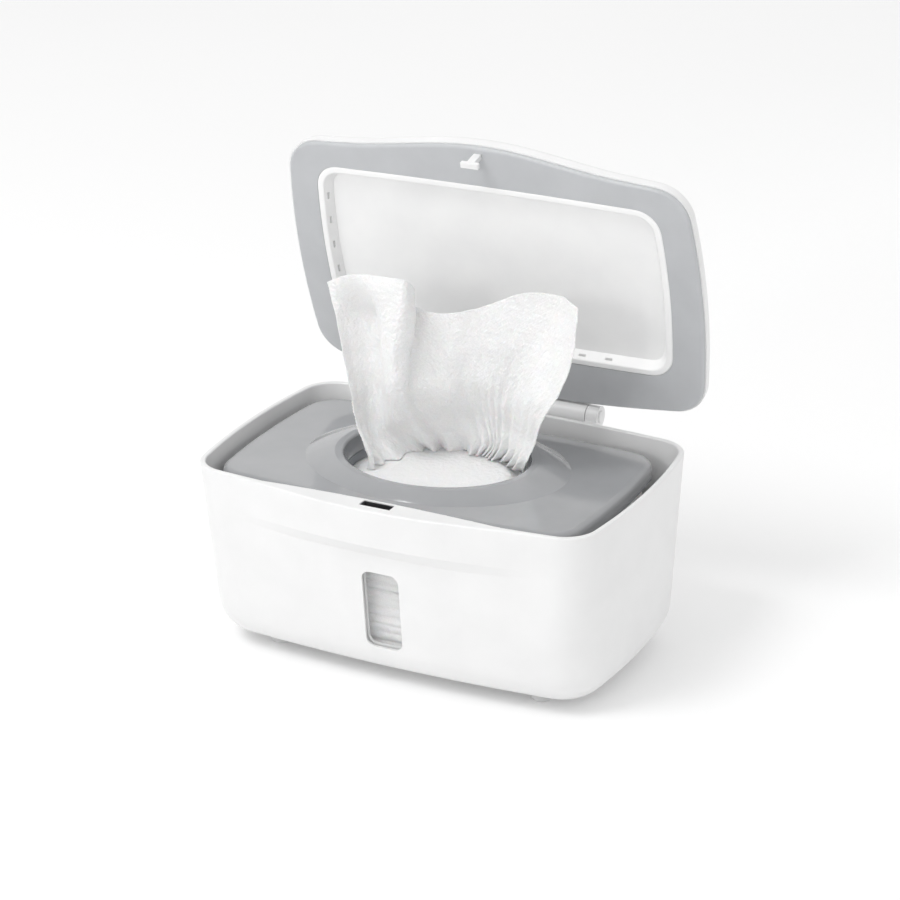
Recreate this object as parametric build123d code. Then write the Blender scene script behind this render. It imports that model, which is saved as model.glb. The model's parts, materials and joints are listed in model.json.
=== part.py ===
from build123d import *
from math import cos, pi
import os

# A countertop wipes dispenser: an oblong tub with a window, a loose weighted plate over the wipes, and
# a sprung hinged lid with a push latch. Millimetres, +Z up, front towards -Y. The pieces are drawn about the
# middle of the tub with the lid shut. At the end the lid is swung open, and everything is moved so that the
# origin is the middle of the overall box on the surface that the dispenser stands on.

# Tub
tub_length = 228.0
tub_depth = 146.4
side_bulge = 5.7
front_bulge = 6.4
rim_height = 103.0
wall = 2.6
floor_thickness = 3.0
rim_corner_radius = 19.0
low_corner_radius = 28.0
side_draft = 0.02
front_draft = 0.095
bottom_rounding = 20.0
rim_rounding = 0.9

# Swelling of the front wall round the latch
swell_out = 5.9
swell_flat = 43.0
swell_reach = 84.0
swell_band = 28.0
swell_shoulder = 7.0
swell_low = rim_height - swell_band
swell_full = swell_low + swell_shoulder
swell_share = 0.74
swell_shoulder_share = 0.6
swell_sink = 0.4
ledge_thickness = 3.0
ledge_depth = 5.2
ledge_reach = 66.0
chamber_half = 23.0
chamber_wall = 1.8
chamber_floor_gap = 1.0
chamber_depth = 20.0

# Feet
foot_radius = 5.5
foot_height = 4.5
foot_seat = 1.2
foot_inset_x = 39.0
foot_inset_y = 33.2
foot_x = tub_length / 2 - foot_inset_x
foot_y = tub_depth / 2 - foot_inset_y

# Window in the front wall
window_width = 20.5
window_height = 43.0
window_centre_z = 44.0
window_corner = 4.5
window_skin = 1.2
pane_margin = 2.2
pane_thickness = 1.4
frame_margin = 4.2
frame_thickness = 1.6
frame_gap = 0.15

# Hinge
hinge_reach = 6.1
hinge_rise = 0.9
hinge_y = tub_depth / 2 + hinge_reach
hinge_z = rim_height + hinge_rise
barrel_radius = 5.6
barrel_half = 45.6
knuckle_gap = 0.4
knuckle_length = 6.6
bracket_drop = 14.0
pin_radius = 1.5
pin_clearance = 0.05
cap_radius = 3.4
cap_thickness = 0.8
spring_pocket_radius = 3.6
spring_pocket_length = 13.0
spring_pocket_x = 22.0
spring_wire = 0.8
spring_turns = 8
open_angle = 76.0

# Lid
lid_overhang = 2.5
lid_front_setback = 4.1
lid_rear_reach = 1.4
lid_height = 12.5
lid_length = tub_length + 2 * lid_overhang
lid_front = tub_depth / 2 - lid_front_setback
lid_rear = tub_depth / 2 + lid_rear_reach
lid_top = rim_height + lid_height
lid_side_bulge = 5.2
lid_front_bulge = 4.5
lid_rear_bulge = 8.5
lid_hump = 6.9
lid_hump_reach = 82.0
lid_corner_radius = 20.0
lid_wall = 2.4
lid_crown_radius = 3200.0
lid_edge_rounding = 5.0
lid_lip_gap = 2.3
seal_gap = 0.3
seal_edge_inset = 0.7
seal_edge_thickness = 1.9
seal_thickness = 3.6
seal_rounding = 1.7
seal_clearance = 0.3
ring_width_side = 17.5
ring_width_front = 16.1
ring_width_rear = 26.7
liner_length = lid_length - 2 * ring_width_side
liner_front = lid_front - ring_width_front
liner_rear = lid_rear - ring_width_rear
liner_bulge = 3.0
liner_corner = 14.0
liner_lip = 4.4
liner_proud = 0.2
liner_lip_rounding = 0.9
liner_wall_slope = 3.0
liner_flange = 1.4
liner_end_bow = 1.2
panel_gap = 5.1
panel_thickness = 1.2
slot_pitch = 15.0
slot_count_side = 4
slot_count_rear = 9
slot_size = 4.0
slot_height = 1.2
slot_rise = 2.2
slot_depth = 5.0
slot_offset = -10.0

# Striker on the lid and push latch in the tub
latch_inset = 2.7
latch_y = latch_inset - tub_depth / 2
latch_slot_length = 17.0
latch_slot_width = 6.0
striker_drop = 10.5
striker_bar_half = 5.0
striker_bar_height = 2.6
striker_thickness = 2.6
striker_stem_half = 2.0
striker_gusset_reach = 6.0
striker_gusset_half = 0.8
latch_travel = 2.5
latch_clearance = 0.4
jaw_swing = 19.0
jaw_pivot_x = 6.4
jaw_end_radius = 1.4
jaw_thickness = 2.6
jaw_hook_height = 1.4
jaw_hook_tip = 3.0
jaw_arm_width = 1.6
jaw_lead = 1.2
jaw_side_gap = 0.3
jaw_pin_radius = 0.6
slider_height = 4.5
slider_depth = 4.6
slider_half = 8.2
slider_play = 0.5
housing_cavity_half = 10.8
housing_wall = 1.2
housing_skin = 0.8
housing_floor_gap = 0.5
housing_ear = 6.0
housing_ear_thickness = 1.6
housing_rim_gap = 0.15
housing_rim_wall = 0.65
housing_rim_sink = 0.4
housing_rim_overlap = 4.0
latch_spring_radius = 1.9
latch_spring_wire = 0.5
latch_spring_turns = 5
latch_spring_seat = 1.0
spring_post_height = 1.2
cover_half = 23.0
cover_thickness = 1.4
screw_radius = 1.1
screw_head_radius = 2.1
screw_head_height = 1.4
screw_cover = 1.2

# Weighted plate, lying a little to the left in its clearance
plate_shift = -4.0
plate_y = 2.0
plate_side_clearance = 9.0
plate_end_clearance = 9.9
plate_sink = 5.5
plate_height = 9.0
plate_length = tub_length - 2 * (wall + plate_side_clearance)
plate_depth = tub_depth - 2 * (wall + plate_end_clearance)
plate_top = rim_height - plate_sink
plate_bottom = plate_top - plate_height
plate_side_bulge = 4.0
plate_front_bulge = 4.0
plate_corner = 17.0
plate_edge_rounding = 3.6
plate_wall = 2.2
tray_thickness = 2.0
collar_inset_x = 28.4
collar_inset_y = 6.2
collar_width_x = 20.0
collar_width_y = 9.1
collar_height = 4.9
collar_shoulder_place = 0.52
collar_shoulder_share = 0.55
collar_lip = 4.2
collar_root_x = plate_length / 2 - collar_inset_x
collar_root_y = plate_depth / 2 - collar_inset_y
collar_crest_x = collar_root_x - collar_width_x
collar_crest_y = collar_root_y - collar_width_y
collar_shoulder_x = collar_root_x - collar_width_x * collar_shoulder_place
collar_shoulder_y = collar_root_y - collar_width_y * collar_shoulder_place
collar_sink = 1.2
collar_rounding = 1.6
hole_x = collar_crest_x - collar_lip
hole_y = collar_crest_y - collar_lip
hole_draft = 2.5
hole_seam_height = 4.6
weight_length = 24.0
weight_height = 4.4
weight_inset_x = 18.4
weight_inset_y = 18.7
weight_x = plate_length / 2 - weight_inset_x
weight_depth = plate_depth - 2 * weight_inset_y
plate_screw_inset_x = 36.4
plate_screw_inset_y = 10.7
plate_screw_x = plate_length / 2 - plate_screw_inset_x
plate_screw_y = plate_depth / 2 - plate_screw_inset_y
plate_boss_radius = 3.0
plate_boss_height = 3.0
plate_screw_length = 3.2

# Wipes
stack_side_clearance = 18.4
stack_end_clearance = 17.6
stack_length = tub_length - 2 * (wall + stack_side_clearance)
stack_depth = tub_depth - 2 * (wall + stack_end_clearance)
stack_y = -2.0
stack_corner = 12.0
stack_bottom_rounding = 11.0
stack_top_rounding = 2.5
soft_gap = 0.3
sheet_thickness = 1.6
wipe_half_width = 74.0
wipe_gather_depth = 27.0
wipe_foot_rise = -7.5
wipe_waist_rise = 17.0
wipe_breast_rise = 51.0
wipe_dip_rise = 82.5
wipe_corner_rise = 89.5
wipe_peak_rise = 97.0


def bulged(length, front, rear, side, front_swell, rear_swell, corner):
    """Oblong face with bowed sides: its long sides reach -front and +rear at the middle."""
    half_x = length / 2 - side
    low_y = -(front - front_swell)
    high_y = rear - rear_swell
    mid_y = (low_y + high_y) / 2
    edges = [
        ThreePointArc((-half_x, low_y), (0, -front), (half_x, low_y)),
        ThreePointArc((half_x, low_y), (length / 2, mid_y), (half_x, high_y)),
        ThreePointArc((half_x, high_y), (0, rear), (-half_x, high_y)),
        ThreePointArc((-half_x, high_y), (-length / 2, mid_y), (-half_x, low_y)),
    ]
    face = make_face(edges)
    return fillet(face.vertices(), corner)


def tub_half_depth(z):
    return tub_depth / 2 - front_draft * (rim_height - z)


def tub_section(z, inset):
    """Outline of the tub at height z, moved inwards by inset."""
    share = (rim_height - z) / (rim_height - foot_height)
    corner = rim_corner_radius + (low_corner_radius - rim_corner_radius) * share
    length = tub_length - 2 * side_draft * (rim_height - z) - 2 * inset
    half = tub_half_depth(z) - inset
    return Pos(0, 0, z) * bulged(length, half, half, side_bulge, front_bulge, front_bulge, corner - inset)


def swell_section(z, out):
    """Flat region behind the swollen front at height z, out beyond the plain wall at its middle."""
    middle = tub_half_depth(z) + out
    bow = front_bulge / (tub_length / 2 - side_bulge) ** 2
    flat_y = tub_half_depth(z) - bow * swell_flat ** 2 + out * swell_shoulder_share
    end_y = tub_half_depth(z) - bow * swell_reach ** 2 - 0.1
    back_y = tub_half_depth(z) - wall - 6.0
    front = ThreePointArc((-swell_flat, -flat_y), (0, -middle), (swell_flat, -flat_y))
    right = Line((swell_flat, -flat_y), (swell_reach, -end_y))
    back = Polyline(
        (swell_reach, -end_y), (swell_reach, -back_y), (-swell_reach, -back_y), (-swell_reach, -end_y))
    left = Line((-swell_reach, -end_y), (-swell_flat, -flat_y))
    return Pos(0, 0, z) * make_face([front, right, *back.edges(), left])


def tub_outside():
    """Outside of the tub with its rounded bottom and the swelling round the latch."""
    body = loft([tub_section(foot_height, 0).face(), tub_section(rim_height, 0).face()])
    body = fillet(body.faces().sort_by(Axis.Z)[0].edges(), bottom_rounding)
    swell = loft([
        swell_section(swell_low, -swell_sink).face(),
        swell_section(swell_full, swell_out * swell_share).face(),
        swell_section(rim_height, swell_out).face(),
    ], ruled=True)
    return body + swell


def tub_inside():
    """Hollow of the tub, open at the top."""
    low = foot_height + floor_thickness
    above = rim_height + 2.0
    space = loft([tub_section(low, wall).face(), tub_section(above, wall).face()])
    return fillet(space.faces().sort_by(Axis.Z)[0].edges(), bottom_rounding - floor_thickness)


def inner_wall_y(z):
    """Distance of the tub's inner front wall from the middle, at height z."""
    return tub_half_depth(z) - wall


def ledge(outside):
    """Shelf behind the swollen front, which carries the latch."""
    inner = inner_wall_y(rim_height)
    bow = front_bulge / (tub_length / 2 - side_bulge) ** 2
    end_y = -(inner - bow * ledge_reach ** 2) + 0.4
    edge = ThreePointArc((-ledge_reach, end_y), (0, -(inner - ledge_depth)), (ledge_reach, end_y))
    far = -(tub_depth / 2 + swell_out + 5.0)
    rest = Polyline((ledge_reach, end_y), (ledge_reach, far), (-ledge_reach, far), (-ledge_reach, end_y))
    region = Pos(0, 0, rim_height - ledge_thickness) * make_face([edge, *rest.edges()])
    return outside & extrude(region, ledge_thickness)


def window_plane():
    """Plane on the outside of the sloping front wall at the window's centre, facing out."""
    y = -tub_half_depth(window_centre_z)
    return Plane(origin=(0, y, window_centre_z), x_dir=(1, 0, 0), z_dir=(0, -1, -front_draft))


def window_outline(margin):
    """Rounded outline of the window, grown by margin on each side."""
    corner = window_corner + margin / 2
    return RectangleRounded(window_width + 2 * margin, window_height + 2 * margin, corner)


def knuckle_profile():
    """Side view of a hinge bracket behind the tub, in the YZ plane."""
    root_y = tub_depth / 2 - wall + 0.9
    bracket = Plane.YZ * make_face(Polyline(
        (root_y, rim_height - bracket_drop), (root_y, rim_height - 0.6), (root_y + 2.6, rim_height - 0.4),
        (hinge_y, hinge_z + barrel_radius), (hinge_y + barrel_radius, hinge_z),
        (hinge_y + barrel_radius * 0.4, hinge_z - barrel_radius), close=True))
    return bracket


def hinge_cylinder(radius, half):
    """Cylinder along X, centred on the hinge axis."""
    return Pos(0, hinge_y, hinge_z) * Rot(0, 90, 0) * Cylinder(radius, 2 * half)


def knuckle(side):
    """One of the two hinge knuckles on the back of the tub."""
    start = barrel_half + knuckle_gap
    bracket = extrude(Pos(start, 0, 0) * knuckle_profile(), knuckle_length)
    drum = Rot(0, 90, 0) * Cylinder(barrel_radius, knuckle_length)
    both = bracket + Pos(start + knuckle_length / 2, hinge_y, hinge_z) * drum
    return both if side > 0 else mirror(both, Plane.YZ)


def housing_floor_top():
    return striker_bottom() - latch_clearance - slider_height - latch_travel - housing_floor_gap


def striker_bottom():
    """Lowest point of the striker when the lid is shut."""
    return rim_height + seal_gap - striker_drop


def chamber_low():
    return housing_floor_top() - housing_wall - chamber_floor_gap


def make_base_shell():
    outside = tub_outside()
    shell = outside - tub_inside() + ledge(outside)
    rim_edges = shell.edges().filter_by(lambda edge: abs(edge.center().Z - rim_height) < 0.01)
    shell = fillet(rim_edges, rim_rounding)
    top = rim_height - ledge_thickness
    low = chamber_low()
    front = tub_depth / 2 + swell_out
    room = Box(2 * chamber_half, 2 * chamber_depth, top - low, align=(Align.CENTER, Align.CENTER, Align.MIN))
    room = (Pos(0, -front, low) * room) & (Pos(0, chamber_wall, 0) * outside)
    shell -= room
    shell -= Pos(0, latch_y, rim_height) * Box(latch_slot_length, latch_slot_width, 3 * ledge_thickness)
    plane = window_plane()
    opening = window_outline(0)
    pane_room = window_outline(pane_margin)
    shell -= plane * Pos(0, 0, -wall * 3) * extrude(opening, wall * 6)
    shell -= plane * Pos(0, 0, -wall * 3) * extrude(pane_room, wall * 3 - window_skin)
    frame_room = window_outline(frame_margin + frame_gap)
    shell -= plane * Pos(0, 0, -wall * 3) * extrude(frame_room, wall * 2)
    for side in (-1, 1):
        shell += knuckle(side)
    shell -= hinge_cylinder(pin_radius, barrel_half + knuckle_gap + knuckle_length + 1)
    for x, y in foot_places():
        shell -= Pos(x, y, foot_height + foot_seat / 2) * Cylinder(foot_radius, foot_seat)
    for side in (-1, 1):
        shell -= screw_hole(side)
    return shell


def foot_places():
    return [(sx * foot_x, sy * foot_y) for sy in (-1, 1) for sx in (-1, 1)]


def make_foot(x, y):
    pad = Cylinder(foot_radius, foot_height + foot_seat, align=(Align.CENTER, Align.CENTER, Align.MIN))
    pad = fillet(pad.edges().sort_by(Axis.Z)[0], 0.9)
    return Pos(x, y, 0) * pad


def make_window_pane():
    pane = extrude(window_outline(pane_margin), pane_thickness)
    return window_plane() * Pos(0, 0, -window_skin - pane_thickness) * pane


def make_window_frame():
    """Frame clipped inside the wall, which holds the pane in its seat."""
    flat = window_outline(frame_margin) - window_outline(0)
    return window_plane() * Pos(0, 0, -wall - frame_thickness - frame_gap) * extrude(flat, frame_thickness)


def ear_screw_x(side):
    return side * (housing_cavity_half + housing_wall + housing_ear / 2)


def screw_hole(side):
    depth = ledge_thickness - screw_cover
    middle = rim_height - ledge_thickness + depth / 2
    return Pos(ear_screw_x(side), latch_y, middle) * Cylinder(screw_radius, depth)


def make_latch_housing():
    """Open-topped box under the ledge, with two screwed ears."""
    top = rim_height - ledge_thickness
    floor_top = housing_floor_top()
    cavity_depth = slider_depth + slider_play
    half = housing_cavity_half + housing_wall
    depth = cavity_depth + 2 * housing_skin
    height = top - floor_top + housing_wall
    box = Pos(0, latch_y, top - height / 2) * Box(2 * half, depth, height)
    box -= Pos(0, latch_y, top) * Box(2 * housing_cavity_half, cavity_depth, 2 * (top - floor_top))
    for side in (-1, 1):
        x = side * (half + housing_ear / 2)
        ear = Box(housing_ear, depth, housing_ear_thickness)
        box += Pos(x, latch_y, top - housing_ear_thickness / 2) * ear
        box -= Pos(ear_screw_x(side), latch_y, top) * Cylinder(screw_radius, 10)
    spring_post = Cylinder(latch_spring_radius - latch_spring_wire - 0.3, spring_post_height,
                           align=(Align.CENTER, Align.CENTER, Align.MIN))
    return box + Pos(0, latch_y, floor_top) * spring_post + housing_rim(top)


def rim_inner_depth():
    """Half of the clear depth inside the housing's dark rim, which lines the slot in the ledge."""
    return latch_slot_width / 2 - housing_rim_gap - housing_rim_wall


def housing_rim(ledge_low):
    """Lining of the slot: four walls in the ledge, of which the long two reach down to the housing's walls."""
    length = latch_slot_length - 2 * housing_rim_gap
    rise = ledge_thickness - housing_rim_sink
    lining = Box(length, 2 * (rim_inner_depth() + housing_rim_wall), rise + housing_rim_overlap)
    lining = Pos(0, latch_y, ledge_low + (rise - housing_rim_overlap) / 2) * lining
    clear = Box(length - 2 * housing_rim_wall, 2 * rim_inner_depth(), 2 * rise)
    under = Box(length, 2 * rim_inner_depth(), 2 * housing_rim_overlap)
    return lining - Pos(0, latch_y, ledge_low + rise) * clear - Pos(0, latch_y, ledge_low - housing_rim_overlap) * under


def make_latch_cover():
    """Inner plate that closes the latch chamber off from the wipes."""
    top = rim_height - ledge_thickness
    low = chamber_low() - 1.5
    y = latch_y + (slider_depth + slider_play) / 2 + housing_skin
    plate = Box(2 * cover_half, cover_thickness, top - low, align=(Align.CENTER, Align.MIN, Align.MAX))
    return Pos(0, y, top) * plate


def screw(head_down):
    """Small pan-head screw, its head's underside at the origin and its shank along +Z."""
    shank = Cylinder(screw_radius, head_down, align=(Align.CENTER, Align.CENTER, Align.MIN))
    head = Cylinder(screw_head_radius, screw_head_height, align=(Align.CENTER, Align.CENTER, Align.MAX))
    head = fillet(head.edges().sort_by(Axis.Z)[0], 0.5)
    head -= Pos(0, 0, -screw_head_height) * Box(0.6, 2.4, 1.0)
    return shank + head


def make_latch_screws():
    length = housing_ear_thickness + ledge_thickness - screw_cover
    seat = rim_height - ledge_thickness - housing_ear_thickness
    return Compound([Pos(ear_screw_x(side), latch_y, seat) * screw(length) for side in (-1, 1)])


def slider_top():
    return striker_bottom() - latch_clearance


def make_latch_slider():
    """Sprung block that the striker presses down; the jaws are pinned in its two forks."""
    block = Box(2 * slider_half, slider_depth, slider_height)
    block = Pos(0, latch_y, slider_top() - slider_height / 2) * block
    for side in (-1, 1):
        fork_centre = side * (slider_half + jaw_pivot_x - jaw_end_radius - latch_clearance) / 2
        fork_width = slider_half - (jaw_pivot_x - jaw_end_radius - latch_clearance) + 0.02
        block -= Pos(fork_centre, latch_y, slider_top() - slider_height / 2) * Box(
            fork_width, jaw_thickness + 2 * jaw_side_gap, slider_height + 1)
        block -= jaw_axis(side) * Cylinder(jaw_pin_radius + pin_clearance, slider_depth + 1)
    bore = Cylinder(latch_spring_radius + 0.3, slider_height - latch_spring_seat,
                    align=(Align.CENTER, Align.CENTER, Align.MIN))
    return block - Pos(0, latch_y, slider_top() - slider_height) * bore


def jaw_pivot_z():
    return slider_top() - slider_height / 2


def jaw_axis(side):
    return Pos(side * jaw_pivot_x, latch_y, jaw_pivot_z()) * Rot(90, 0, 0)


def make_latch_jaw(side):
    """Hooked finger, drawn shut over the striker's shoulder and then swung open about its pin."""
    shoulder = striker_bottom() + striker_bar_height + 0.3 + latch_travel
    inner = striker_bar_half + latch_clearance
    outer = inner + jaw_arm_width
    pivot_z = jaw_pivot_z()
    arm = Pos((inner + outer) / 2, 0, (pivot_z + shoulder + jaw_hook_height) / 2) * Box(
        outer - inner, jaw_thickness, shoulder + jaw_hook_height - pivot_z)
    hook = Pos((jaw_hook_tip + outer) / 2, 0, shoulder + jaw_hook_height / 2) * Box(
        outer - jaw_hook_tip, jaw_thickness, jaw_hook_height)
    hook_top = shoulder + jaw_hook_height + 0.1
    lead = Plane.XZ * make_face(Polyline(
        (jaw_hook_tip - 0.1, hook_top), (jaw_hook_tip + jaw_lead, hook_top),
        (jaw_hook_tip - 0.1, shoulder + 0.5), close=True))
    hook -= extrude(lead, jaw_thickness, both=True)
    end = Pos(jaw_pivot_x, 0, pivot_z) * Rot(90, 0, 0) * Cylinder(jaw_end_radius, jaw_thickness)
    pin = Pos(jaw_pivot_x, 0, pivot_z) * Rot(90, 0, 0) * Cylinder(jaw_pin_radius, slider_depth - 0.2)
    jaw = arm + hook + end + pin
    pivot = Axis((jaw_pivot_x, 0, pivot_z), (0, 1, 0))
    jaw = jaw.rotate(pivot, jaw_swing)
    jaw = Pos(0, latch_y, 0) * jaw
    return jaw if side > 0 else mirror(jaw, Plane.YZ)


def coil(radius, wire, length, turns):
    """Helical spring along +Z from the origin."""
    height = length - wire
    path = Pos(0, 0, wire / 2) * Helix(height / turns, height, radius)
    return sweep(Plane(path @ 0, z_dir=path % 0) * Circle(wire / 2), path)


def make_latch_spring():
    low = housing_floor_top()
    length = slider_top() - latch_spring_seat - low
    spring = coil(latch_spring_radius - latch_spring_wire / 2, latch_spring_wire, length, latch_spring_turns)
    return Pos(0, latch_y, low) * spring


def make_hinge_pin():
    return hinge_cylinder(pin_radius, barrel_half + knuckle_gap + knuckle_length)


def make_hinge_cap(side):
    x = side * (barrel_half + knuckle_gap + knuckle_length + cap_thickness / 2)
    cap = Rot(0, 90, 0) * Cylinder(cap_radius, cap_thickness)
    outer = cap.edges().sort_by(Axis.X)
    cap = fillet(outer[-1] if side > 0 else outer[0], 0.5)
    return Pos(x, hinge_y, hinge_z) * cap


def lid_front_y(x, inset):
    """Front edge of the lid at x: a shallow bow with a hump in its middle, like the tub's swelling."""
    half_x = lid_length / 2 - lid_side_bulge
    bow = lid_front_bulge * (x / half_x) ** 2
    hump = lid_hump * cos(pi * x / (2 * lid_hump_reach)) ** 2 if abs(x) < lid_hump_reach else 0
    return inset + bow - lid_front - hump


def lid_section(z, inset):
    """Outline of the lid at height z, moved inwards by inset."""
    half_x = lid_length / 2 - lid_side_bulge - inset
    low_y = lid_front_y(lid_length / 2 - lid_side_bulge, inset)
    high_y = lid_rear - lid_rear_bulge - inset
    mid_y = (low_y + high_y) / 2
    start_y = lid_front_y(lid_hump_reach, inset)
    slope = (low_y - start_y) / (half_x - lid_hump_reach)
    steps = 12
    places = [lid_hump_reach * (2 * i / steps - 1) for i in range(steps + 1)]
    hump = Spline([(x, lid_front_y(x, inset)) for x in places], tangents=[(1, -slope), (1, slope)])
    edges = [
        Line((-half_x, low_y), (-lid_hump_reach, start_y)),
        hump,
        Line((lid_hump_reach, start_y), (half_x, low_y)),
        ThreePointArc((half_x, low_y), (lid_length / 2 - inset, mid_y), (half_x, high_y)),
        ThreePointArc((half_x, high_y), (0, lid_rear - inset), (-half_x, high_y)),
        ThreePointArc((-half_x, high_y), (inset - lid_length / 2, mid_y), (-half_x, low_y)),
    ]
    face = make_face(edges)
    corners = face.vertices().filter_by(lambda vertex: abs(vertex.X) > half_x - 1)
    return Pos(0, 0, z) * fillet(corners, lid_corner_radius - inset)


def crowned(low, inset, top):
    """Lid-shaped block from height low, with a slightly domed top."""
    block = extrude(lid_section(low, inset), top - low)
    ball = Pos(0, 0, top - lid_crown_radius) * Sphere(lid_crown_radius)
    return block & ball


def lip_height():
    return rim_height + lid_lip_gap


def make_lid_shell():
    """Domed cover with the hinge barrel on its back edge."""
    outer = crowned(lip_height(), 0, lid_top)
    rim_edges = outer.faces().sort_by(Axis.Z)[-1].edges()
    outer = fillet(rim_edges, lid_edge_rounding)
    inner = crowned(lip_height() - 1.0, lid_wall, lid_top - lid_wall)
    rim_edges = inner.faces().sort_by(Axis.Z)[-1].edges()
    inner = fillet(rim_edges, lid_edge_rounding - lid_wall)
    web_start = lid_rear - lid_wall
    web = Plane.YZ * make_face(Polyline(
        (web_start, lip_height()), (hinge_y - barrel_radius * 0.7, lip_height()), (hinge_y, hinge_z - 1.0),
        (hinge_y, hinge_z + barrel_radius), (web_start, hinge_z + barrel_radius - 1.6), close=True))
    web = extrude(web, barrel_half, both=True)
    barrel = hinge_cylinder(barrel_radius, barrel_half)
    shell = outer + web + barrel - inner
    shell -= hinge_cylinder(pin_radius + pin_clearance, barrel_half + 1)
    for side in (-1, 1):
        pocket = Rot(0, 90, 0) * Cylinder(spring_pocket_radius, spring_pocket_length)
        shell -= Pos(side * spring_pocket_x, hinge_y, hinge_z) * pocket
    return shell


def liner_face(inset):
    front = liner_front - inset
    rear = liner_rear - inset
    return bulged(liner_length - 2 * inset, front, rear, liner_bulge, liner_end_bow, liner_end_bow,
                  liner_corner - inset)


def seal_low():
    return rim_height + seal_gap


def make_lid_seal():
    """Wide soft gasket round the lid, which meets the tub's rim."""
    body = extrude(lid_section(seal_low(), seal_edge_inset), seal_edge_thickness)
    body = fillet(body.faces().sort_by(Axis.Z)[0].edges(), seal_rounding)
    body += extrude(lid_section(seal_low() + 1, lid_wall + seal_clearance), seal_thickness - 1)
    body -= Pos(0, 0, seal_low() - 1) * extrude(liner_face(0), seal_thickness + 2)
    body -= hinge_cylinder(barrel_radius + seal_clearance, barrel_half + seal_clearance)
    stem = Box(2 * striker_stem_half, striker_thickness, 4 * seal_thickness)
    return body - Pos(0, latch_y, seal_low()) * stem


def panel_low():
    return seal_low() + panel_gap


def make_lid_liner():
    """White ring inside the gasket: a rounded lip, a sloping inner wall with snap slots, and a flange."""
    low = seal_low() - liner_proud
    flange_low = seal_low() + seal_thickness
    ring = Pos(0, 0, low) * extrude(liner_face(0), flange_low + liner_flange - low)
    flange = Pos(0, 0, flange_low) * extrude(lid_section(0, lid_wall + 1.4), liner_flange)
    ring += flange
    recess = loft([
        (Pos(0, 0, low - 0.01) * liner_face(liner_lip - 1.0)).face(),
        (Pos(0, 0, panel_low()) * liner_face(liner_lip - 1.0 + liner_wall_slope)).face(),
    ])
    ring -= recess
    lip_edges = ring.faces().sort_by(Axis.Z)[0].edges()
    ring = fillet(lip_edges, liner_lip_rounding)
    for x, y, turn in slot_places():
        cutter = Box(slot_size, slot_depth, slot_height)
        ring -= Pos(x, y, seal_low() + slot_rise) * Rot(0, 0, turn) * cutter
    return ring


def slot_places():
    """Snap slots in the liner's inner wall: along both short sides and along the back."""
    places = []
    for i in range(slot_count_side):
        y = (i - (slot_count_side - 1) / 2) * slot_pitch + slot_offset
        for side in (-1, 1):
            places.append((side * (liner_length / 2 - liner_lip - 1.0), y, 90))
    for i in range(slot_count_rear):
        x = (i - (slot_count_rear - 1) / 2) * slot_pitch
        places.append((x, liner_rear - liner_lip - 1.0, 0))
    return places


def make_lid_panel():
    """Flat white panel at the bottom of the liner's recess."""
    return Pos(0, 0, panel_low()) * extrude(liner_face(2.0), panel_thickness)


def make_lid_striker():
    """T-shaped catch that hangs from the gasket near the lid's front edge."""
    low = striker_bottom()
    flange_low = seal_low() + seal_thickness
    stem = Box(2 * striker_stem_half, striker_thickness, flange_low - low)
    stem = Pos(0, latch_y, (low + flange_low) / 2) * stem
    bar = Pos(0, latch_y, low + striker_bar_height / 2) * Box(
        2 * striker_bar_half, striker_thickness, striker_bar_height)
    bar = fillet(bar.edges().filter_by(Axis.Y), 0.7)
    gusset_depth = rim_inner_depth() - latch_clearance
    gusset = Plane.YZ * make_face(Polyline(
        (latch_y, seal_low() - striker_gusset_reach), (latch_y, seal_low()),
        (latch_y + gusset_depth, seal_low()), close=True))
    gusset = extrude(gusset, striker_gusset_half, both=True)
    return stem + bar + gusset


def make_hinge_spring(side):
    """Torsion spring round the pin, inside the barrel."""
    length = spring_pocket_length - 1.0
    spring = coil((spring_pocket_radius + pin_radius) / 2, spring_wire, length, spring_turns)
    start = side * spring_pocket_x - length / 2
    return Pos(start, hinge_y, hinge_z) * Rot(0, 90, 0) * spring


def plate_face(inset):
    half = plate_depth / 2 - inset
    length = plate_length - 2 * inset
    face = bulged(length, half, half, plate_side_bulge, plate_front_bulge, plate_front_bulge, plate_corner - inset)
    return Pos(plate_shift, plate_y, 0) * face


def plate_ellipse(x_radius, y_radius, z):
    return (Pos(plate_shift, plate_y, z) * Ellipse(x_radius, y_radius)).face()


def collar(inset, drop):
    """Raised rounded collar round the hole, moved in and down for the inside of the cover."""
    shoulder_z = plate_top + collar_height * collar_shoulder_share
    return loft([
        plate_ellipse(collar_root_x - inset, collar_root_y - inset, plate_top - collar_sink - drop),
        plate_ellipse(collar_shoulder_x - inset, collar_shoulder_y - inset, shoulder_z - drop),
        plate_ellipse(collar_crest_x - inset, collar_crest_y - inset, plate_top + collar_height - drop),
    ])


def hole(grow, low, high):
    """Drafted elliptical hole, grown by grow, between two heights."""
    span = plate_top + collar_height - plate_bottom
    def at(z):
        shrink = hole_draft * (plate_top + collar_height - z) / span
        return plate_ellipse(hole_x - shrink + grow, hole_y - shrink + grow, z)
    return loft([at(low), at(high)])


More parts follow.
